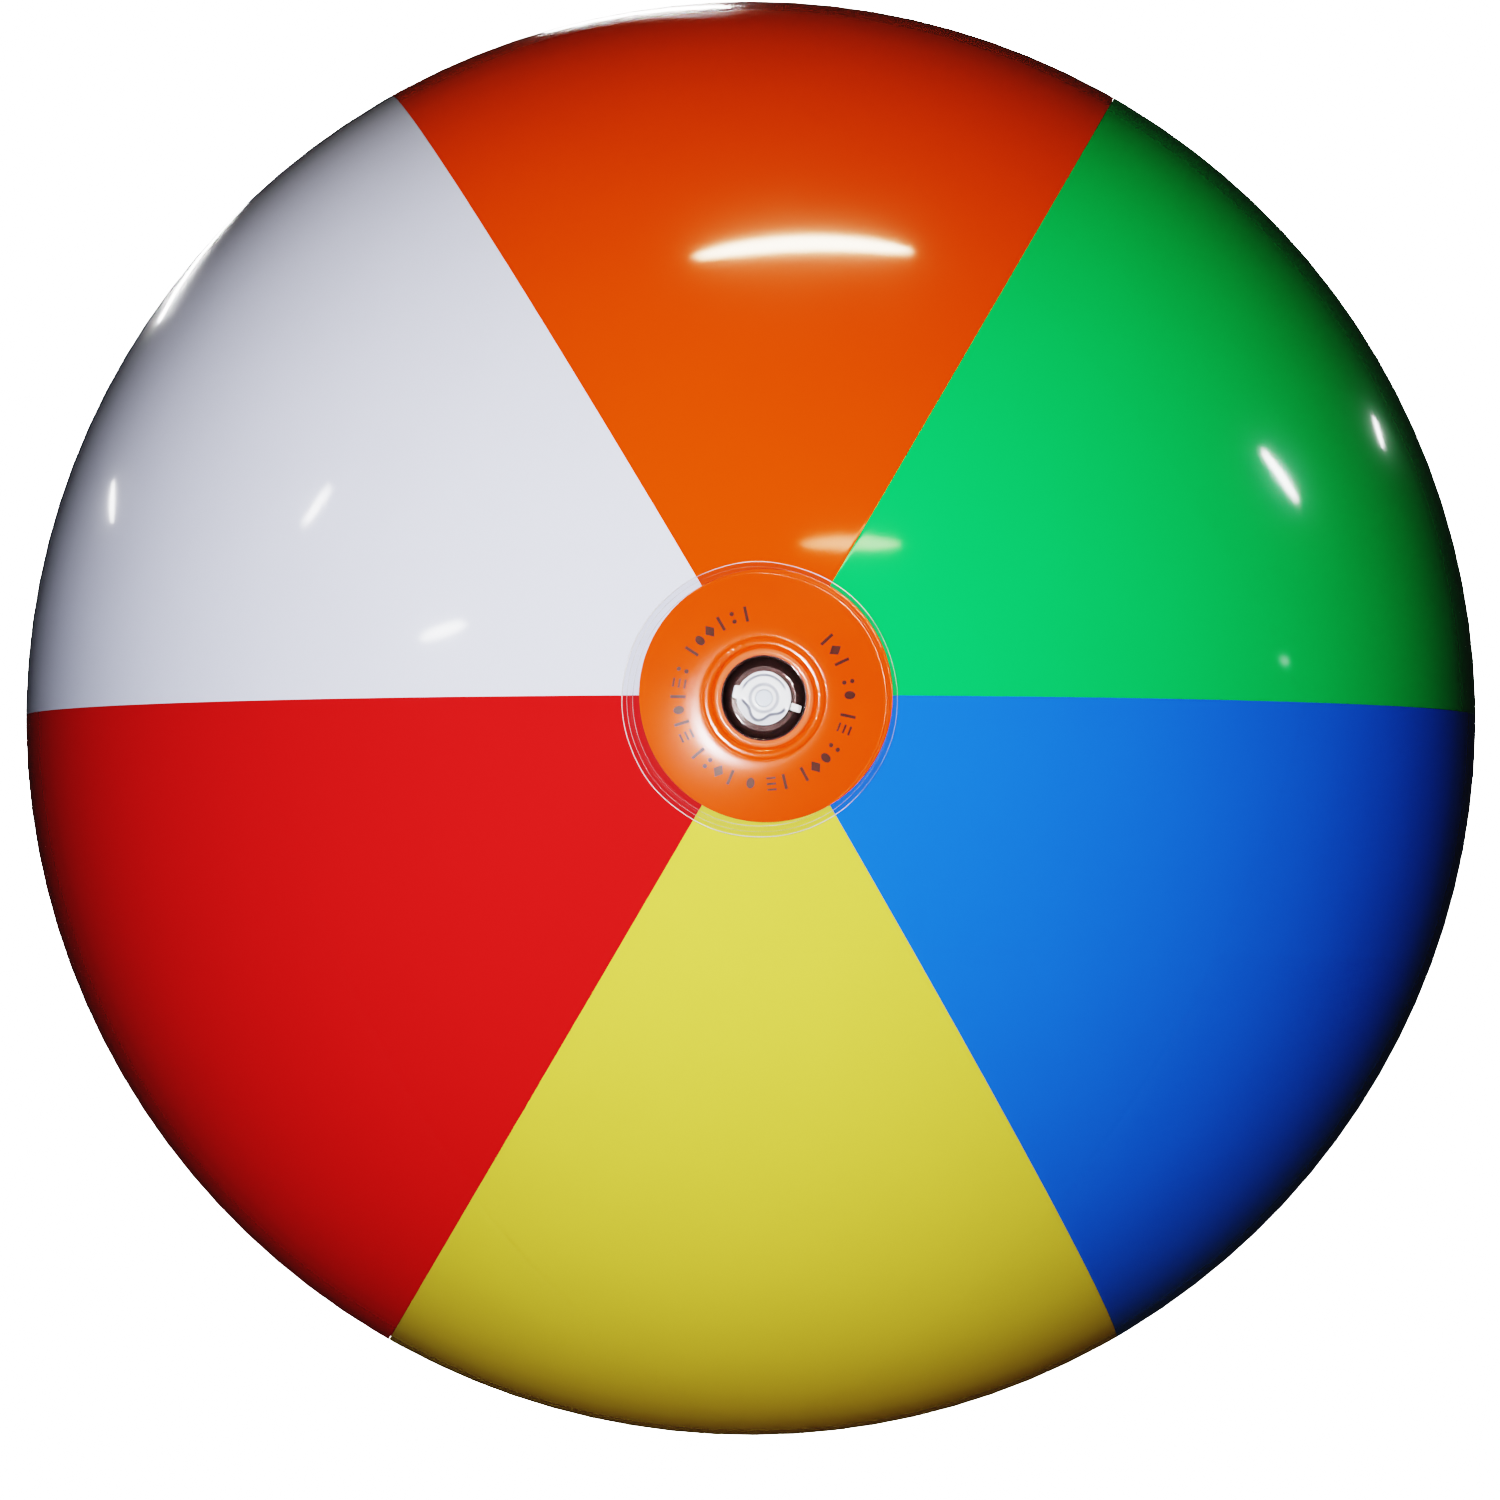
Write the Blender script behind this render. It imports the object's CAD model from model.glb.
"""Inflatable beach ball: film panels, welded pole discs, recessed valve, materials, lights and camera.

Pieces of a pole are built about their own +Z, which points out of that pole, and are then turned onto
-Y (the valve) or +Y (the plain end).  Angles round a pole run anticlockwise from +X as the valve is seen.
"""
import math

import bmesh
import bpy
from mathutils import Matrix, Vector, noise


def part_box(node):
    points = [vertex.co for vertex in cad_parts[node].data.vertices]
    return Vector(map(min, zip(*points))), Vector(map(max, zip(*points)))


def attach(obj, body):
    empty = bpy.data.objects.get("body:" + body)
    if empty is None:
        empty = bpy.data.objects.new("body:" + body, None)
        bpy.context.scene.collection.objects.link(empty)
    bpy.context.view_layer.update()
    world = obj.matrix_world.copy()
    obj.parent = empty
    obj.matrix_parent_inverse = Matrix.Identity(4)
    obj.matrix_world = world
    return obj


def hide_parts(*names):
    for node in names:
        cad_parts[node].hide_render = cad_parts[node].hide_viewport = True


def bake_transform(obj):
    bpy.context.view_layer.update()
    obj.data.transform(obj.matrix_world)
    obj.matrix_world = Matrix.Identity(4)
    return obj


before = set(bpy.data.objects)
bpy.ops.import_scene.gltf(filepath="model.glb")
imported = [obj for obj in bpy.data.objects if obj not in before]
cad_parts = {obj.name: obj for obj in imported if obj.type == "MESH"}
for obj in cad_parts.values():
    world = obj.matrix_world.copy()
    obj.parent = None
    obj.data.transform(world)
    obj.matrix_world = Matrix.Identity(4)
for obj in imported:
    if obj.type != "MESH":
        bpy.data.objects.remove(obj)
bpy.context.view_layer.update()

# Sizes read from the frame, in metres
MM = 0.001
FILM = 0.3 * MM
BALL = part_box("panel_orange")[1].z
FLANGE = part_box("valve_flange")[1].z
FACE = -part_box("valve_flange")[0].y + 2 * FILM          # flat outer face of the disc round the valve
FLANGE_BOTTOM = -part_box("valve_flange")[1].y
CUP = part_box("valve_cup")[1].z
CUP_BOTTOM = -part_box("valve_cup")[1].y
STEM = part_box("valve_stem")[1].z
STEM_TOP = -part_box("valve_stem")[0].y
STEM_BOTTOM = -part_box("valve_stem")[1].y
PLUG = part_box("valve_plug")[1].z
PLUG_TAB = -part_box("valve_plug")[0].x
SHANK_END = -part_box("valve_plug")[1].y
STRAP_TURN = -17.0                                      # angle of the strap round the valve, in degrees
STRAP_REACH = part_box("plug_strap")[1].x / math.cos(math.radians(STRAP_TURN))
FLAP_TOP = -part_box("check_flap")[0].y
FLAP_BOTTOM = -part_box("check_flap")[1].y
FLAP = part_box("check_flap")[1].z
BORE = STEM - 2.0 * MM
HOLE = CUP - 0.4 * MM
FLAT_EDGE = FLANGE + 1.5 * MM
PANEL_ORDER = ("green", "orange", "white", "red", "yellow", "blue")
SECTOR = math.tau / len(PANEL_ORDER)

# Head of the plug, and the lip and weld ring round the hole
PLUG_HEAD = 1.6 * MM
PLUG_TOP = STEM_TOP + FILM + PLUG_HEAD
TAB_TURN = 167.0
LIP_ROLL = 2.4 * MM
LIP_RISE = 0.40 * MM
LIP_GROOVE = 17.5 * MM
RING_INSIDE = (17.75 * MM, 18.3 * MM)                   # from the foot to the top of the ring's inner side
RING_OUTSIDE = (20.3 * MM, 20.9 * MM)
RING_RISE = 0.26 * MM
RING_CROWN = 0.07 * MM
LIP_EDGE = 20.6 * MM
EDGE_LINE = 21.25 * MM

# The taut bag under its own weight: a little wider than tall
SAG_WIDE = 1.006
SAG_TALL = 0.995

# The seams meet a little up and to the right of the valve
PATTERN_UP = math.radians(-0.19)
PATTERN_RIGHT = math.radians(0.134)

# Disc print and weld, seen from outside the valve pole
PRINT_RADIUS = 43.2 * MM
PRINT_CENTRE = (0.7 * MM, 1.0 * MM)
WELD_RADIUS = 47.3 * MM
WELD_CENTRE = (-1.4 * MM, -0.3 * MM)
WELD_MARGIN = 6.0 * MM
MARK_INNER = 26.6 * MM
MARK_OUTER = 31.9 * MM


# ---------------------------------------------------------------- camera and light
CAMERA_DISTANCE = 1.5
CAMERA_AZIMUTH = math.radians(-0.857)
CAMERA_ELEVATION = math.radians(-1.402)
CAMERA_AIM = Vector((-0.34 * MM, 0.0, -12.9 * MM))
CAMERA_LENS = 84.74


def on_sphere(distance, azimuth, elevation):
    """A point round the origin, by its angles from -Y: azimuth towards +X, elevation towards +Z."""
    flat = distance * math.cos(elevation)
    return Vector((flat * math.sin(azimuth), -flat * math.cos(azimuth), distance * math.sin(elevation)))


CAMERA_PLACE = on_sphere(CAMERA_DISTANCE, CAMERA_AZIMUTH, CAMERA_ELEVATION)


def make_camera():
    """A long lens aimed a little below the ball's centre, nearly along the poles' line."""
    camera = bpy.data.cameras.new("camera")
    camera.lens = CAMERA_LENS
    camera.sensor_width = 36.0
    camera.clip_start = 0.01
    camera.clip_end = 100.0
    holder = bpy.data.objects.new("camera", camera)
    holder.location = CAMERA_PLACE
    holder.rotation_euler = (CAMERA_AIM - CAMERA_PLACE).to_track_quat("-Z", "Y").to_euler()
    bpy.context.scene.collection.objects.link(holder)
    bpy.context.scene.camera = holder


def ball_point(polar, around):
    """A point on the ball, by its angle from the valve and its angle round the valve, in degrees."""
    out = math.sin(math.radians(polar))
    turn = math.radians(around)
    return BALL * Vector((out * math.cos(turn), -math.cos(math.radians(polar)), out * math.sin(turn)))


def mirrored(point, distance):
    """Where a lamp stands for the camera to see it mirrored at this point of the ball."""
    normal = point.normalized()
    view = (CAMERA_PLACE - point).normalized()
    return point + distance * (2 * normal.dot(view) * normal - view)


def area_lamp(name, place, aim, size, power, colour=(1, 1, 1), long_axis=None, diffuse=True, glossy=True):
    """An elliptical lamp, hidden from the camera; the first of its two sizes runs along long_axis."""
    lamp = bpy.data.lights.new(name, "AREA")
    lamp.shape = "ELLIPSE"
    lamp.size, lamp.size_y = size
    lamp.energy = power
    lamp.color = colour
    holder = bpy.data.objects.new(name, lamp)
    back = (place - aim).normalized()
    along = (long_axis or Vector((1, 0, 0))).copy()
    along = (along - along.dot(back) * back).normalized()
    turned = Matrix((along, back.cross(along), back)).transposed()
    holder.matrix_world = Matrix.Translation(place) @ turned.to_4x4()
    holder.visible_camera = False
    holder.visible_diffuse = diffuse
    holder.visible_glossy = glossy
    bpy.context.scene.collection.objects.link(holder)


def mirrored_strip(name, start, end, width, distance, power, colour=(1, 1, 1)):
    """A long lamp that shows in the gloss as a streak from one point of the ball to another."""
    one = mirrored(ball_point(*start), distance)
    two = mirrored(ball_point(*end), distance)
    middle = (one + two) / 2
    aim = (ball_point(*start) + ball_point(*end)) / 2
    size = ((two - one).length, width)
    area_lamp(name, middle, aim, size, power, colour, long_axis=two - one, diffuse=False)


def soft_lamp(name, direction, distance, size, power, colour=(1, 1, 1)):
    """A broad lamp that lights the colours only, from (azimuth, elevation) in degrees."""
    spot = on_sphere(distance, math.radians(direction[0]), math.radians(direction[1]))
    area_lamp(name, spot, Vector((0, 0, 0)), (size, size), power, colour, glossy=False)


WARM = (1.0, 0.86, 0.60)


def make_lamps():
    """A flash beside the camera, overhead tubes, small glints, and soft fill behind the ball."""
    middle = Vector((0, 0, 0))
    flash = mirrored(ball_point(3.5, -141.7), 1.2)
    area_lamp("flash", flash, middle, (0.07, 0.05), 4.2, diffuse=False)
    soft_lamp("key", (-6, -1), 1.35, 0.2, 14.8)
    soft_lamp("fill_over", (14, 70), 2.4, 1.0, 7.0, WARM)
    soft_lamp("fill_under", (2, -86), 2.4, 0.8, 10.0, (1.0, 0.50, 0.14))
    soft_lamp("fill_back", (180, 8), 2.4, 1.2, 40.0)
    soft_lamp("fill_left", (-155, -6), 2.4, 0.8, 5.0)
    soft_lamp("fill_right", (155, 10), 2.4, 0.8, 12.0)
    mirrored_strip("tube_over", (32.3, 98.4), (34.6, 71.9), 0.085, 2.0, 22.0, WARM)
    mirrored_strip("tube_far", (10.5, 76.9), (13.7, 48.8), 0.10, 2.6, 2.8, WARM)
    mirrored_strip("glint_green", (42.8, 27.3), (44.1, 21.1), 0.05, 2.0, 2.2)
    mirrored_strip("glint_green_edge", (61.0, 25.7), (59.7, 23.1), 0.03, 2.0, 0.25)
    mirrored_strip("glint_white_edge", (59.8, 160.2), (57.3, 163.6), 0.03, 2.0, 0.4)
    mirrored_strip("glint_white", (34.5, 152.8), (35.2, 158.6), 0.03, 2.0, 1.3)
    mirrored_strip("glint_white_low", (23.4, 169.6), (20.5, 165.3), 0.05, 2.0, 1.8)
    mirrored_strip("glint_dot", (38.2, 5.0), (39.1, 4.7), 0.03, 2.0, 0.04)
    mirrored_strip("rim_over", (73.5, 107.0), (70.5, 92.0), 0.03, 2.0, 3.0)
    mirrored_strip("rim_left", (75.5, 134.5), (69.0, 146.5), 0.02, 2.0, 1.6)
    area_lamp("tube_back", on_sphere(2.6, math.radians(176), math.radians(11)), middle, (0.6, 0.08), 20.0,
              diffuse=False)


def emission_white(name, strength):
    """A pale, faintly uneven surface that glows by itself."""
    material = bpy.data.materials.new(name)
    material.use_nodes = True
    nodes = material.node_tree.nodes
    links = material.node_tree.links
    shader = nodes["Principled BSDF"]
    shader.inputs["Roughness"].default_value = 0.9
    shader.inputs["Emission Strength"].default_value = strength
    shader.inputs["Specular IOR Level"].default_value = 0.0
    grain = nodes.new("ShaderNodeTexNoise")
    grain.inputs["Scale"].default_value = 6.0
    stops = ((0.3, (0.955, 0.957, 0.96)), (0.7, (0.97, 0.97, 0.97)))
    pale = ramp_colour(material, grain.outputs["Fac"], stops)
    links.new(pale, shader.inputs["Base Color"])
    links.new(pale, shader.inputs["Emission Color"])
    return material


def make_stage():
    """A pale floor that curves up far behind the ball on every side."""
    shape = bmesh.new()
    rings = [(0.0, 0.0), (0.8, 0.0), (1.6, 0.0), (3.0, 0.0)]
    rings += [(3.0 + 2.0 * math.sin(turn), 2.0 - 2.0 * math.cos(turn))
              for turn in spread(0.0, math.pi / 2, 12)[1:]]
    rings.append((5.0, 6.0))
    floor = -BALL * SAG_TALL - FILM
    rows = [[Vector((radius * math.cos(turn), radius * math.sin(turn), floor + height))
             for turn in spread(0.0, math.tau, 64)[:-1]] for radius, height in rings]
    add_rows(shape, rows, wrap=True)
    bmesh.ops.remove_doubles(shape, verts=shape.verts, dist=1e-6)
    stage = finish_mesh("floor", shape, emission_white("pale_floor", 20.0))
    stage.visible_glossy = False
    stage.visible_diffuse = False
    stage.visible_shadow = False


def make_world():
    """A faint white surround."""
    world = bpy.data.worlds.new("studio")
    world.use_nodes = True
    background = world.node_tree.nodes["Background"]
    background.inputs["Color"].default_value = (1.0, 1.0, 1.0, 1.0)
    background.inputs["Strength"].default_value = 0.018
    bpy.context.scene.world = world


# ---------------------------------------------------------------- mesh helpers
def spread(first, last, steps):
    """Evenly spaced values from first to last, both included."""
    return [first + (last - first) * step / steps for step in range(steps + 1)]


def smooth(low, high, value):
    """A soft step from 0 at low to 1 at high; low may be the larger of the two."""
    part = min(1.0, max(0.0, (value - low) / (high - low)))
    return part * part * (3 - 2 * part)


def bump(value, width):
    """A rounded ridge, 1 at 0 and 0 beyond half its width."""
    part = abs(value) / (width / 2)
    return 0.0 if part >= 1 else 0.5 + 0.5 * math.cos(math.pi * part)


def angle_from(angle, centre):
    """Signed difference of two angles in degrees, from -180 to 180."""
    return (angle - centre + 180.0) % 360.0 - 180.0


def add_rows(shape, rows, wrap):
    """Quads between neighbouring rows of points; each row closes on itself where wrap is set."""
    corners = [[shape.verts.new(point) for point in row] for row in rows]
    for low, high in zip(corners, corners[1:]):
        count = len(low)
        for column in range(count if wrap else count - 1):
            after = (column + 1) % count
            shape.faces.new((low[column], low[after], high[after], high[column]))
    return corners


SHARP_EDGE = math.radians(50.0)


def finish_mesh(name, shape, material):
    """Turn a bmesh into a shaded object of the scene."""
    bmesh.ops.recalc_face_normals(shape, faces=shape.faces)
    mesh = bpy.data.meshes.new(name)
    shape.to_mesh(mesh)
    shape.free()
    mesh.shade_smooth()
    mesh.set_sharp_from_angle(angle=SHARP_EDGE)
    mesh.materials.append(material)
    piece = bpy.data.objects.new(name, mesh)
    bpy.context.scene.collection.objects.link(piece)
    return piece


def settle(piece):
    """Widen and flatten a piece of the bag as it stands on the floor."""
    piece.data.transform(Matrix.Diagonal((SAG_WIDE, 1.0, SAG_TALL, 1.0)))


def to_pole(piece, side=1):
    """Turn a piece built about +Z onto the valve's pole, or with side -1 onto the other one."""
    piece.data.transform(Matrix.Rotation(side * math.pi / 2, 4, "X"))


def place(piece, body, node, slot):
    """Let a piece ride on a body in place of a CAD node, with the finish of a material slot."""
    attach(piece, body)
    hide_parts(node)


def rounded(points, radius, steps=4):
    """An open profile with its inner corners rounded off."""
    result = [points[0]]
    for before, corner, after in zip(points, points[1:], points[2:]):
        corner_v = Vector(corner)
        back = Vector(before) - corner_v
        ahead = Vector(after) - corner_v
        reach = min(radius, back.length * 0.45, ahead.length * 0.45)
        one = corner_v + back.normalized() * reach
        two = corner_v + ahead.normalized() * reach
        for part in spread(0.0, 1.0, steps):
            point = one * (1 - part) ** 2 + corner_v * 2 * part * (1 - part) + two * part ** 2
            result.append(tuple(point))
    return result + [points[-1]]


def rounded_loop(points, radius, steps=4):
    """The same for a closed profile, all of whose corners are rounded off."""
    return rounded([points[-1], *points, points[0]], radius, steps)[1:-1]


def turned(name, profile, segments, material, loop, warp=None):
    """A turned solid from (radius, height) points; warp may move a point by its angle in degrees."""
    shape = bmesh.new()
    rows = []
    for radius, height in profile + ([profile[0]] if loop else []):
        row = []
        for turn in spread(0.0, 360.0, segments)[:-1]:
            reach, level = warp(radius, height, turn) if warp else (radius, height)
            angle = math.radians(turn)
            row.append(Vector((reach * math.cos(angle), reach * math.sin(angle), level)))
        rows.append(row)
    add_rows(shape, rows, wrap=True)
    bmesh.ops.remove_doubles(shape, verts=shape.verts, dist=1e-7)
    return finish_mesh(name, shape, material)


# ---------------------------------------------------------------- materials
def shade(colour, factor):
    """A colour made lighter or darker."""
    return tuple(min(1.0, part * factor) for part in colour)


def base_material(name, roughness, coat=0.0, coat_roughness=0.03, ior=1.5):
    """A new material and its Principled shader, with the values that are the same all over."""
    material = bpy.data.materials.new(name)
    material.use_nodes = True
    shader = material.node_tree.nodes["Principled BSDF"]
    shader.inputs["Roughness"].default_value = roughness
    shader.inputs["IOR"].default_value = ior
    shader.inputs["Coat Weight"].default_value = coat
    shader.inputs["Coat Roughness"].default_value = coat_roughness
    return material, shader


def object_noise(material, scale, detail=2.0, roughness=0.5):
    """Noise fixed to the piece, at a scale per metre."""
    nodes = material.node_tree.nodes
    links = material.node_tree.links
    place_node = nodes.new("ShaderNodeTexCoord")
    texture = nodes.new("ShaderNodeTexNoise")
    texture.inputs["Scale"].default_value = scale
    texture.inputs["Detail"].default_value = detail
    texture.inputs["Roughness"].default_value = roughness
    links.new(place_node.outputs["Object"], texture.inputs["Vector"])
    return texture.outputs["Fac"]


def map_range(material, value, source, target=(0.0, 1.0)):
    """Carry a value from one range to another, held at the ends of the second."""
    node = material.node_tree.nodes.new("ShaderNodeMapRange")
    node.inputs["From Min"].default_value, node.inputs["From Max"].default_value = source
    node.inputs["To Min"].default_value, node.inputs["To Max"].default_value = target
    material.node_tree.links.new(value, node.inputs["Value"])
    return node.outputs["Result"]


def mix_colours(material, factor, first, second):
    """Blend two colours by a factor; either one is a socket or a plain colour."""
    node = material.node_tree.nodes.new("ShaderNodeMix")
    node.data_type = "RGBA"
    material.node_tree.links.new(factor, node.inputs[0])
    for socket, colour in ((node.inputs[6], first), (node.inputs[7], second)):
        if isinstance(colour, tuple):
            socket.default_value = (*colour, 1.0)
        else:
            material.node_tree.links.new(colour, socket)
    return node.outputs[2]


def ramp_colour(material, value, stops):
    """Colour a value by a ramp, whose stops are (position, colour)."""
    ramp = material.node_tree.nodes.new("ShaderNodeValToRGB")
    while len(ramp.color_ramp.elements) < len(stops):
        ramp.color_ramp.elements.new(0.5)
    for element, (position, colour) in zip(ramp.color_ramp.elements, stops):
        element.position = position
        element.color = (*colour, 1.0)
    material.node_tree.links.new(value, ramp.inputs["Fac"])
    return ramp.outputs["Color"]


def add_bumps(material, shader, layers, coat=True):
    """Stack bump layers, each (noise scale, depth in metres), on the shader's normal."""
    nodes = material.node_tree.nodes
    links = material.node_tree.links
    normal = None
    for scale, depth in layers:
        node = nodes.new("ShaderNodeBump")
        node.inputs["Strength"].default_value = 1.0
        node.inputs["Distance"].default_value = depth
        links.new(object_noise(material, scale), node.inputs["Height"])
        if normal:
            links.new(normal, node.inputs["Normal"])
        normal = node.outputs["Normal"]
    links.new(normal, shader.inputs["Normal"])
    if coat:
        links.new(normal, shader.inputs["Coat Normal"])


def mottled(material, colour, socket, spread_factor=0.015, scale=26.0):
    """Drive a colour input by the film's slight unevenness of pigment."""
    stops = ((0.2, shade(colour, 1 - spread_factor)), (0.8, shade(colour, 1 + spread_factor)))
    cloudy = ramp_colour(material, object_noise(material, scale, 4.0, 0.6), stops)
    material.node_tree.links.new(cloudy, socket)


def vary_roughness(material, shader, low, high, scale=40.0):
    """Let the roughness wander between two values over the surface."""
    varied = map_range(material, object_noise(material, scale, 3.0), (0.2, 0.8), (low, high))
    material.node_tree.links.new(varied, shader.inputs["Roughness"])


def film_material(name, colour):
    """Glossy calendered vinyl film: fine orange peel, faint waviness, slight mottling."""
    material, shader = base_material(name, 0.23, coat=0.8, coat_roughness=0.08)
    shader.inputs["Specular IOR Level"].default_value = 0.06
    mottled(material, colour, shader.inputs["Base Color"])
    vary_roughness(material, shader, 0.20, 0.26)
    add_bumps(material, shader, ((30.0, 0.000012), (900.0, 0.0000012)))
    return material


def planar_distance(material, centre):
    """Distance in the XZ plane from a point beside the poles' axis."""
    nodes = material.node_tree.nodes
    links = material.node_tree.links
    coords = nodes.new("ShaderNodeTexCoord")
    shift = nodes.new("ShaderNodeVectorMath")
    shift.operation = "SUBTRACT"
    shift.inputs[1].default_value = (centre[0], 0.0, centre[1])
    flatten = nodes.new("ShaderNodeVectorMath")
    flatten.operation = "MULTIPLY"
    flatten.inputs[1].default_value = (1.0, 0.0, 1.0)
    length = nodes.new("ShaderNodeVectorMath")
    length.operation = "LENGTH"
    links.new(coords.outputs["Object"], shift.inputs[0])
    links.new(shift.outputs["Vector"], flatten.inputs[0])
    links.new(flatten.outputs["Vector"], length.inputs[0])
    return length.outputs["Value"]


def pale_lip(material, printed):
    """The print's colour, thinned to a paler one on the lip that is rolled over the well's edge."""
    roll_end = HOLE + LIP_ROLL
    from_pole = planar_distance(material, (0.0, 0.0))
    thinned = map_range(material, from_pole, (roll_end - 0.4 * MM, roll_end), (0.15, 0.0))
    return mix_colours(material, thinned, printed, (0.95, 0.60, 0.50))


def disc_colour(material, colour, outside, pressed):
    """The print inside its edge; outside it the clear film, brighter where the weld pressed it."""
    stops = ((0.3, shade(colour, 0.97)), (0.7, shade(colour, 1.03)))
    printed = ramp_colour(material, object_noise(material, 60.0, 3.0), stops)
    clear = ramp_colour(material, pressed, ((0.15, (0.10, 0.06, 0.08)), (0.5, (0.92, 0.88, 0.90))))
    return mix_colours(material, outside, pale_lip(material, printed), clear)


def disc_cover(material, outside, pressed):
    """How much the disc hides: all of it inside the print's edge, little in the clear margin."""
    milky = map_range(material, pressed, (0.15, 0.8), (0.07, 0.85))
    cover = map_range(material, outside, (0.0, 1.0), (1.0, 0.0))
    material.node_tree.links.new(milky, cover.node.inputs["To Max"])
    return cover


def disc_material(name, colour):
    """Clear film printed on its back: opaque inside the print's edge, clear in the welded margin."""
    material, shader = base_material(name, 0.19)
    links = material.node_tree.links
    from_print = planar_distance(material, PRINT_CENTRE)
    outside = map_range(material, from_print, (PRINT_RADIUS - 0.12 * MM, PRINT_RADIUS + 0.12 * MM))
    weld = material.node_tree.nodes.new("ShaderNodeAttribute")
    weld.attribute_name = "weld"
    pressed = weld.outputs["Fac"]
    links.new(disc_colour(material, colour, outside, pressed), shader.inputs["Base Color"])
    links.new(disc_cover(material, outside, pressed), shader.inputs["Alpha"])
    from_pole = planar_distance(material, (0.0, 0.0))
    polish = map_range(material, from_pole, (LIP_EDGE - 0.5 * MM, LIP_EDGE + 0.5 * MM), (0.16, 0.19))
    links.new(polish, shader.inputs["Roughness"])
    add_bumps(material, shader, ((120.0, 0.00002), (1500.0, 0.000002)), coat=False)
    return material


def ink_material():
    """Thin dark ink that covers unevenly."""
    material, shader = base_material("dark_ink", 0.3)
    mottled(material, (0.095, 0.035, 0.028), shader.inputs["Base Color"], 0.25, 300.0)
    add_bumps(material, shader, ((1500.0, 0.000004),), coat=False)
    return material


def clear_material(name, colour, transmission, roughness):
    """Soft moulded vinyl, more or less clear, with a moulded skin."""
    material, shader = base_material(name, roughness, coat=0.5, coat_roughness=0.05, ior=1.52)
    shader.inputs["Transmission Weight"].default_value = transmission
    mottled(material, colour, shader.inputs["Base Color"], 0.06, 90.0)
    vary_roughness(material, shader, roughness * 0.8, roughness * 1.3, 200.0)
    add_bumps(material, shader, ((150.0, 0.00006), (1200.0, 0.000006)))
    return material


def milky_material():
    """Milky soft vinyl of the plug: its creases look darker, and its thick dome a little bluer."""
    material, shader = base_material("milky_vinyl", 0.2, coat=0.4, coat_roughness=0.05, ior=1.52)
    nodes = material.node_tree.nodes
    links = material.node_tree.links
    coords = nodes.new("ShaderNodeTexCoord")
    split = nodes.new("ShaderNodeSeparateXYZ")
    links.new(coords.outputs["Object"], split.inputs["Vector"])
    height = map_range(material, split.outputs["Y"], (-(PLUG_TOP - 0.5 * MM), -(PLUG_TOP + 0.5 * MM)))
    crease, shoulder = (0.20, 0.21, 0.26), (0.55, 0.57, 0.66)
    face, dome = (0.90, 0.92, 0.98), (0.62, 0.69, 0.82)
    stops = ((0.1, crease), (0.34, shoulder), (0.47, face), (0.62, face), (0.9, dome))
    links.new(ramp_colour(material, height, stops), shader.inputs["Base Color"])
    shader.inputs["Transmission Weight"].default_value = 0.1
    add_bumps(material, shader, ((150.0, 0.00006), (1200.0, 0.000006)))
    return material


# ---------------------------------------------------------------- panels
SEAM_STEPS = tuple(step * MM for step in (0.04, 0.15, 0.3, 0.45, 0.65, 0.95, 1.4, 2.4, 6.0))
SEAM_GROOVE = 0.03 * MM
SEAM_GROOVE_WIDTH = 0.38 * MM
SEAM_FIN = 5.0 * MM
SEAM_LAP = 0.03 * MM
SEAM_PHASE = 7.3
RIPPLE = 0.02 * MM
RIPPLE_REACH = 16 * MM
RIPPLE_LENGTH = 14 * MM
PANEL_TIP = FLANGE + 2.5 * MM
PANEL_ROWS = 180
PANEL_MIDDLE = 18


def panel_columns(reach):
    """Distances from one seam plane across a panel whose seams are this far apart, dense at seams."""
    near = [step for step in SEAM_STEPS if step < reach * 0.28]
    near += [near[-1]] * (len(SEAM_STEPS) - len(near))
    middle = spread(near[-1], reach - near[-1], PANEL_MIDDLE)[1:-1]
    return near + middle + [reach - step for step in reversed(near)]


def panel_height(polar, seam_distance, phase):
    """Radius of the film: a shallow groove along the weld and a faint ripple beside it."""
    groove = SEAM_GROOVE * math.exp(-(seam_distance / SEAM_GROOVE_WIDTH) ** 2)
    ripple_fade = math.exp(-seam_distance / RIPPLE_REACH) * math.sin(polar)
    ripple = RIPPLE * ripple_fade * noise.noise(Vector((polar * BALL / RIPPLE_LENGTH, phase, 0.3)))
    return BALL - groove + ripple


def panel_point(index, polar, step, arc, inward=1.0):
    """A point of a panel's film, a step along the arc from its first seam; inward 1 is the outer face."""
    angle = (index + step / arc) * SECTOR
    seam = index if step < arc / 2 else (index + 1) % len(PANEL_ORDER)
    height = panel_height(polar, max(0.0, min(step, arc - step)), seam * SEAM_PHASE) * inward
    flat = math.sin(polar)
    return height * Vector((flat * math.cos(angle), flat * math.sin(angle), math.cos(polar)))


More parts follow.
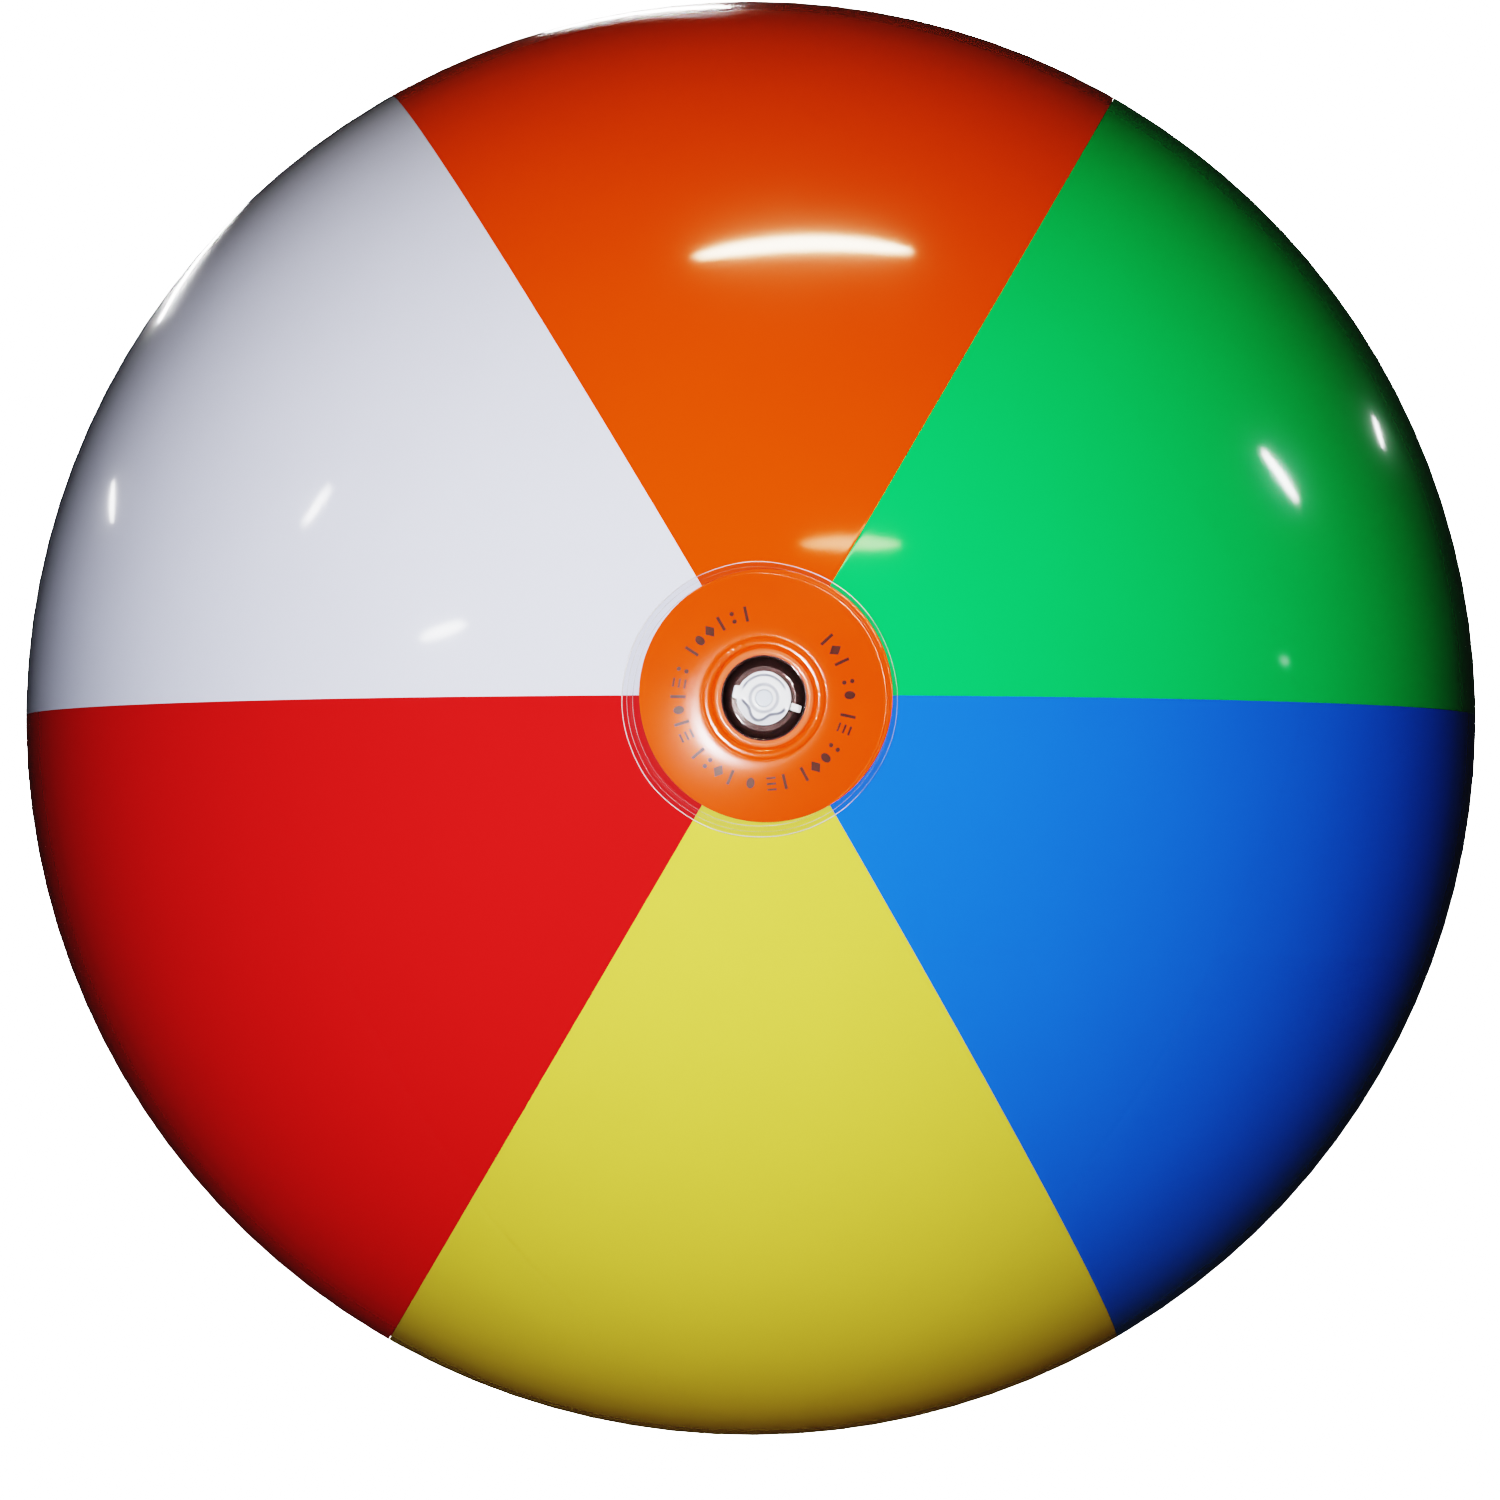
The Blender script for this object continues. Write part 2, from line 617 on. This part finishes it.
def make_panel(colour, index, material):
    """One gore from disc to disc, with its edges turned in along the seams until they meet the next."""
    shape = bmesh.new()
    tip = math.asin(PANEL_TIP / BALL)
    root = 1 - SEAM_FIN / BALL
    half = (1 + root) / 2
    rows = []
    for polar in spread(tip, math.pi - tip, PANEL_ROWS):
        arc = BALL * math.sin(polar) * SECTOR
        row = [panel_point(index, polar, step, arc) for step in panel_columns(arc)]
        fin_one = [panel_point(index, polar, -SEAM_LAP, arc, root),
                   panel_point(index, polar, 0.0, arc, half)]
        fin_two = [panel_point(index, polar, arc, arc, half),
                   panel_point(index, polar, arc + SEAM_LAP, arc, root)]
        rows.append(fin_one + row + fin_two)
    add_rows(shape, rows, wrap=False)
    bmesh.ops.remove_doubles(shape, verts=shape.verts, dist=1e-7)
    piece = finish_mesh(f"panel_{colour}_film", shape, material)
    middle = max(piece.data.polygons, key=lambda face: face.center.length)
    if middle.normal.dot(middle.center) < 0:
        piece.data.flip_normals()
    wall = piece.modifiers.new("film", "SOLIDIFY")
    wall.thickness = 0.25 * MM
    wall.offset = -1.0
    to_pole(piece)
    piece.data.transform(Matrix.Rotation(PATTERN_UP, 4, "X") @ Matrix.Rotation(PATTERN_RIGHT, 4, "Z"))
    settle(piece)
    apply_modifiers(piece)
    place(piece, "envelope", f"panel_{colour}", f"{colour}_film")


def apply_modifiers(piece):
    """Replace a piece's mesh with what its modifiers make of it."""
    evaluated = piece.evaluated_get(bpy.context.evaluated_depsgraph_get())
    mesh = bpy.data.meshes.new_from_object(evaluated)
    piece.modifiers.clear()
    piece.data = mesh


# ---------------------------------------------------------------- pole discs
def disc_height(radius):
    """Outer face of a disc: flat over the flange, then easing over into the ball's curve."""
    past = max(0.0, radius - FLANGE)
    ease = FLANGE / BALL * past * math.exp(-past / (4 * MM))
    return math.sqrt((BALL + 2 * FILM) ** 2 - max(radius, FLANGE) ** 2) + ease


def weld_reach(turn):
    """Distance from the pole to the disc's edge, which is an off-centre, slightly uneven circle."""
    angle = math.radians(turn)
    right, up = WELD_CENTRE
    along = right * math.cos(angle) + up * math.sin(angle)
    across = up * math.cos(angle) - right * math.sin(angle)
    spot = Vector((2.2 * math.cos(angle), 2.2 * math.sin(angle), WELD_RADIUS * 300))
    return along + math.sqrt(WELD_RADIUS ** 2 - across ** 2) + 0.35 * MM * noise.noise(spot)


def lip_profile():
    """Heights over the flat face round the hole: rolled lip, groove, raised weld ring and its edge."""
    rings = []
    for radius in spread(HOLE, FLAT_EDGE, 44):
        lip_part = (radius - HOLE) / LIP_ROLL
        lip = LIP_RISE * math.sqrt(max(0.0, 1 - (2 * lip_part - 0.95) ** 2)) if lip_part < 1 else 0.0
        groove = -0.28 * MM * bump(radius - LIP_GROOVE, 0.9 * MM)
        ring = RING_RISE * (smooth(*RING_INSIDE, radius) - smooth(*RING_OUTSIDE, radius))
        ring += RING_CROWN * bump(radius - 19.3 * MM, 2.6 * MM)
        line = -0.07 * MM * bump(radius - EDGE_LINE, 0.6 * MM)
        rings.append((radius, lip + groove + ring + line))
    return rings


def burr_height(radius, turn):
    """Small burrs that the weld left round the lip, mostly to the upper left and to the right."""
    angle = math.radians(turn)
    sides = smooth(40.0, 10.0, abs(angle_from(turn, 125.0))) + smooth(30.0, 8.0, abs(angle_from(turn, -2.0)))
    spot = Vector((radius * math.cos(angle), radius * math.sin(angle), 0.0)) / (1.1 * MM)
    return 0.3 * MM * sides * bump(radius - 20.0 * MM, 4.5 * MM) * max(0.0, noise.noise(spot) - 0.15)


WELD_RIDGES = ((0.4 * MM, 0.22 * MM, 0.75 * MM), (2.1 * MM, 0.16 * MM, 0.5 * MM),
               (3.3 * MM, 0.09 * MM, 0.4 * MM), (4.1 * MM, 0.19 * MM, 0.5 * MM))


def weld_height(inset, turn):
    """Raised lines that the weld leaves along the margin, each fading round the disc."""
    total = 0.0
    for index, (place_in, rise, width) in enumerate(WELD_RIDGES):
        fade = 0.6 + 0.4 * noise.noise(Vector((math.cos(math.radians(turn)) * 1.7, index * 3.1,
                                               math.sin(math.radians(turn)) * 1.7)))
        total += rise * fade * bump(inset - place_in, width)
    return total


def disc_rows(turns, holed):
    """Outer face of a disc as rows of (radius, height), and the strength of the weld's lines by row."""
    top = []
    lines = {}
    if holed:
        inner = lip_profile()
    else:
        inner = [(radius, 0.0) for radius in spread(0.0, FLAT_EDGE, 12)]
    for radius, rise in inner:
        top.append([(radius, disc_height(radius) + rise + (burr_height(radius, turn) if holed else 0.0))
                    for turn in turns])
    start = inner[-1][0]
    for part in spread(0.0, 1.0, 10)[1:]:
        row = []
        for turn in turns:
            reach = start + (weld_reach(turn) - WELD_MARGIN - start) * part
            row.append((reach, disc_height(reach)))
        top.append(row)
    for inset in spread(WELD_MARGIN, 0.0, 40)[1:]:
        row = []
        for turn in turns:
            reach = weld_reach(turn) - inset
            edge = 0.12 * MM * smooth(0.3 * MM, 0.0, inset)
            row.append((reach, disc_height(reach) + weld_height(inset, turn) - edge))
        lines[len(top)] = [weld_height(inset, turn) / WELD_RIDGES[0][1] for turn in turns]
        top.append(row)
    return top, lines


def make_disc(name, node, side, material, holed):
    """A film disc; its "weld" value marks the pressed lines of the margin for the material."""
    shape = bmesh.new()
    weld = shape.verts.layers.float.new("weld")
    turns = spread(0.0, 360.0, 360)[:-1]
    top, lines = disc_rows(turns, holed)
    bottom = [[(reach, disc_height(reach) - FILM * 0.9) for reach, _ in row] for row in reversed(top)]
    rows = top + bottom + ([top[0]] if holed else [])
    points = [[Vector((reach * math.cos(math.radians(turn)), reach * math.sin(math.radians(turn)), level))
               for turn, (reach, level) in zip(turns, row)] for row in rows]
    corners = add_rows(shape, points, wrap=True)
    for index, strengths in lines.items():
        for corner, strength in zip(corners[index], strengths):
            corner[weld] = strength
    bmesh.ops.remove_doubles(shape, verts=shape.verts, dist=1e-7)
    piece = finish_mesh(name, shape, material)
    to_pole(piece, side)
    place(piece, "envelope", node, "printed_disc")


# ---------------------------------------------------------------- printed marks
def mark_outline(kind):
    """Outlines of one small sign, as points (across, up) in a box one unit high."""
    if kind == "bar":
        return [((-0.1, 0.0), (0.1, 0.0), (0.1, 1.0), (-0.1, 1.0))]
    if kind == "dashes":
        return [((-0.3, low), (0.3, low), (0.3, low + 0.14), (-0.3, low + 0.14)) for low in (0.06, 0.43, 0.8)]
    if kind == "diamond":
        return [((0.0, 0.04), (0.36, 0.5), (0.0, 0.96), (-0.36, 0.5))]
    if kind == "dots":
        return [tuple((0.15 * math.cos(turn), middle + 0.15 * math.sin(turn))
                      for turn in spread(0.0, math.tau, 12)[:-1]) for middle in (0.24, 0.76)]
    return [tuple((0.27 * math.cos(turn), 0.5 + 0.36 * math.sin(turn))
                  for turn in spread(0.0, math.tau, 16)[:-1])]


MARK_WORDS = ("bar diamond bar", "dots spot", "bar dashes", "dots spot diamond bar", "bar dashes", "spot",
              "bar diamond dots bar", "dashes bar spot bar dashes dots", "bar spot diamond bar dots bar")
MARK_START = 43.0
MARK_STEP = 9.0
MARK_GAP = 5.0


def add_mark(shape, outline, turn):
    """One flat ink shape lying just over the disc, with its sign standing outwards at this angle."""
    height = MARK_OUTER - MARK_INNER
    spin = Matrix.Rotation(math.radians(turn - 90.0), 2)
    rows = []
    for rise in (0.02, 0.06):
        row = []
        for across, up in outline:
            spot = spin @ Vector((across * height, MARK_INNER + up * height))
            row.append(Vector((spot.x, spot.y, disc_height(spot.length) + rise * MM)))
        rows.append(row)
    low, high = add_rows(shape, rows, wrap=True)
    shape.faces.new(low)
    shape.faces.new(high)


def make_marks(material):
    """A ring of plain signs, in groups, printed round the valve."""
    shape = bmesh.new()
    turn = MARK_START
    for word in MARK_WORDS:
        for kind in word.split():
            for outline in mark_outline(kind):
                add_mark(shape, outline, turn)
            turn -= MARK_STEP
        turn -= MARK_GAP
    piece = finish_mesh("printed_marks", shape, material)
    to_pole(piece)
    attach(piece, "envelope")


# ---------------------------------------------------------------- valve
def make_flange(material):
    """Flat ring of the valve's moulding under the disc."""
    top = FACE - 2 * FILM
    inner = CUP + FILM
    outline = [(inner, top), (FLANGE, top), (FLANGE, FLANGE_BOTTOM), (inner, FLANGE_BOTTOM)]
    piece = turned("valve_flange_ring", rounded_loop(outline, 0.3 * MM), 128, material, loop=True)
    to_pole(piece)
    place(piece, "envelope", "valve_flange", "clear_valve")


CUP_WALL = 0.6 * MM


def make_cup(material):
    """Soft wall rolled down from the flange to the stem; it turns inside out as the stem is pulled."""
    top = FACE - 2 * FILM
    inner = STEM + FILM
    outside = HOLE - 0.15 * MM
    floor = CUP_BOTTOM + 0.2 * MM
    outer = [(CUP, top), (CUP, top - 0.5 * MM), (outside, top - 0.9 * MM),
             (outside - 0.2 * MM, floor + 3.2 * MM), (outside - 1.2 * MM, floor + 0.9 * MM),
             (outside - 3.2 * MM, floor), (inner, floor + 0.5 * MM)]
    inside = outside - CUP_WALL
    back = [(inner, floor + 0.5 * MM + CUP_WALL), (outside - 3.1 * MM, floor + CUP_WALL),
            (outside - 1.7 * MM, floor + 1.4 * MM), (inside - 0.2 * MM, floor + 3.4 * MM),
            (inside, top - 0.9 * MM), (inside + 0.1 * MM, top)]
    profile = rounded_loop(outer + back, 1.6 * MM, 6)
    piece = turned("valve_cup_wall", profile, 128, material, loop=True)
    to_pole(piece)
    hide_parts("valve_cup")
    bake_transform(piece)


def make_stem(material):
    """Tube that takes the plug, stepped in a little at its inner end."""
    step = 0.25 * MM
    outline = [(BORE, STEM_TOP), (STEM, STEM_TOP), (STEM, STEM_BOTTOM + 4 * MM),
               (STEM - step, STEM_BOTTOM + 3 * MM), (STEM - step, STEM_BOTTOM), (BORE, STEM_BOTTOM)]
    piece = turned("valve_stem_tube", rounded_loop(outline, 0.5 * MM), 96, material, loop=True)
    to_pole(piece)
    place(piece, "valve_stem", "valve_stem", "clear_valve")


HEAD_RIM = PLUG * 0.88
DOME_EDGE = (2.6 * MM, 3.3 * MM)
DOME_RISE = 0.60 * MM
RING_GROOVE = 4.7 * MM
RIM_GROOVE = 7.9 * MM


def plug_step(turn):
    """Radius of the folded edge across the plug's head, on the side away from the strap."""
    return (6.9 + 0.9 * math.cos(math.radians(4.5 * (turn - 250.0)))) * MM


def warp_plug(radius, height, turn):
    """Shape the head: dome, two rings, a folded edge on the lower side, and the pull tab."""
    tab = smooth(15.0, 10.5, abs(angle_from(turn, TAB_TURN)))
    reach = radius
    if radius > HEAD_RIM:
        reach = radius + (PLUG_TAB - PLUG) * tab * smooth(HEAD_RIM, PLUG, radius)
        reach -= 0.25 * MM * max(0.0, noise.noise(Vector((math.cos(math.radians(turn)) * 2,
                                                          math.sin(math.radians(turn)) * 2, 1.0))))
    level = height
    if height > PLUG_TOP - 0.05 * MM:
        lower = smooth(0.0, 12.0, angle_from(turn, 178.0)) * smooth(0.0, 12.0, angle_from(338.0, turn))
        upper = smooth(75.0, 55.0, abs(angle_from(turn, 90.0)))
        level += DOME_RISE * smooth(DOME_EDGE[1], DOME_EDGE[0], radius)
        level -= 0.24 * MM * bump(radius - RING_GROOVE, 1.9 * MM)
        level -= 0.34 * MM * upper * bump(radius - RIM_GROOVE, 1.4 * MM)
        level -= 0.45 * MM * lower * bump(radius - plug_step(turn), 1.6 * MM)
        level -= 0.12 * MM * lower * smooth(-0.25 * MM, 0.25 * MM, radius - plug_step(turn))
    return reach, level


def make_plug(material):
    """Head, rim and shank of the plug, turned in one."""
    head_bottom = STEM_TOP + FILM
    shank = BORE - FILM
    top = [(radius, PLUG_TOP) for radius in spread(0.0, PLUG - 0.5 * MM, 56)]
    edge = [top[-1], (PLUG, PLUG_TOP - 0.1 * MM), (PLUG, head_bottom), (shank, head_bottom)]
    rim = rounded(edge, 0.5 * MM)[1:]
    end = rounded([rim[-1], (shank, SHANK_END), (0.0, SHANK_END)], 0.8 * MM)[1:]
    piece = turned("valve_plug_head", top + rim + end, 240, material, loop=False, warp=warp_plug)
    to_pole(piece)
    place(piece, "valve_plug", "valve_plug", "milky_plug")


STRAP_WIDTH = 2.5 * MM
STRAP_THICK = 0.65 * MM
STRAP_ABOVE = 0.35 * MM                                 # top of the strap over the middle of the head
STRAP_DROP = 4.0 * MM                                   # from the head down to the stem's end of the strap


def make_strap(material):
    """U-bent strip from the plug's head to the stem, with rounded edges."""
    head = STEM_TOP + FILM + PLUG_HEAD / 2 + STRAP_ABOVE
    bend = STRAP_DROP / 2
    centre = STRAP_REACH - bend
    path = [(PLUG + FILM, head)]
    path += [(centre + bend * math.sin(turn), head - bend + bend * math.cos(turn))
             for turn in spread(0.0, math.pi, 24)]
    path.append((STEM + FILM, head - STRAP_DROP))
    rows = []
    for index, point in enumerate(path):
        before = Vector(path[max(0, index - 1)])
        after = Vector(path[min(len(path) - 1, index + 1)])
        along = (after - before).normalized()
        inward = Vector((along.y, -along.x)) * STRAP_THICK
        row = []
        for across, depth in ((-0.42, 0.0), (0.42, 0.0), (0.5, 0.25), (0.5, 0.75), (0.42, 1.0), (-0.42, 1.0),
                              (-0.5, 0.75), (-0.5, 0.25)):
            spot = Vector(point) + inward * depth
            row.append(Vector((spot.x, across * STRAP_WIDTH, spot.y)))
        rows.append(row)
    shape = bmesh.new()
    corners = add_rows(shape, rows, wrap=True)
    shape.faces.new(corners[0])
    shape.faces.new(corners[-1])
    bmesh.ops.rotate(shape, verts=shape.verts, matrix=Matrix.Rotation(math.radians(STRAP_TURN), 3, "Z"))
    piece = finish_mesh("plug_strap_strip", shape, material)
    to_pole(piece)
    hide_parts("plug_strap")
    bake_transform(piece)


def make_flap(material):
    """Soft disc that shuts the stem's inner end."""
    outline = [(0.0, FLAP_TOP), (FLAP, FLAP_TOP), (FLAP, FLAP_BOTTOM), (0.0, FLAP_BOTTOM)]
    profile = rounded(outline, 0.2 * MM)
    piece = turned("check_flap_disc", profile, 96, material, loop=False)
    to_pole(piece)
    place(piece, "check_flap", "check_flap", "clear_valve")


# ---------------------------------------------------------------- build
FILM_COLOURS = {
    "orange": (0.87, 0.088, 0.004),
    "green": (0.012, 0.54, 0.135),
    "white": (0.75, 0.785, 0.97),
    "red": (0.65, 0.024, 0.024),
    "yellow": (0.67, 0.615, 0.096),
    "blue": (0.026, 0.165, 0.83),
}


make_camera()
make_world()
make_lamps()
make_stage()
for panel_index, panel_colour in enumerate(PANEL_ORDER):
    make_panel(panel_colour, panel_index, film_material(f"{panel_colour}_vinyl", FILM_COLOURS[panel_colour]))
disc_film = disc_material("printed_film", (0.86, 0.085, 0.005))
make_disc("valve_disc_film", "valve_disc", 1, disc_film, holed=True)
make_disc("end_disc_film", "end_disc", -1, disc_film, holed=False)
make_marks(ink_material())
clear_vinyl = clear_material("clear_vinyl", (0.18, 0.11, 0.105), 0.8, 0.08)
milky_vinyl = milky_material()
strap_vinyl = clear_material("strap_vinyl", (0.90, 0.92, 0.98), 0.1, 0.18)
make_flange(clear_vinyl)
make_cup(clear_vinyl)
make_stem(clear_vinyl)
make_plug(milky_vinyl)
make_strap(strap_vinyl)
make_flap(clear_vinyl)
bpy.context.scene.view_settings.view_transform = "Filmic"
bpy.context.scene.view_settings.look = "Very High Contrast"
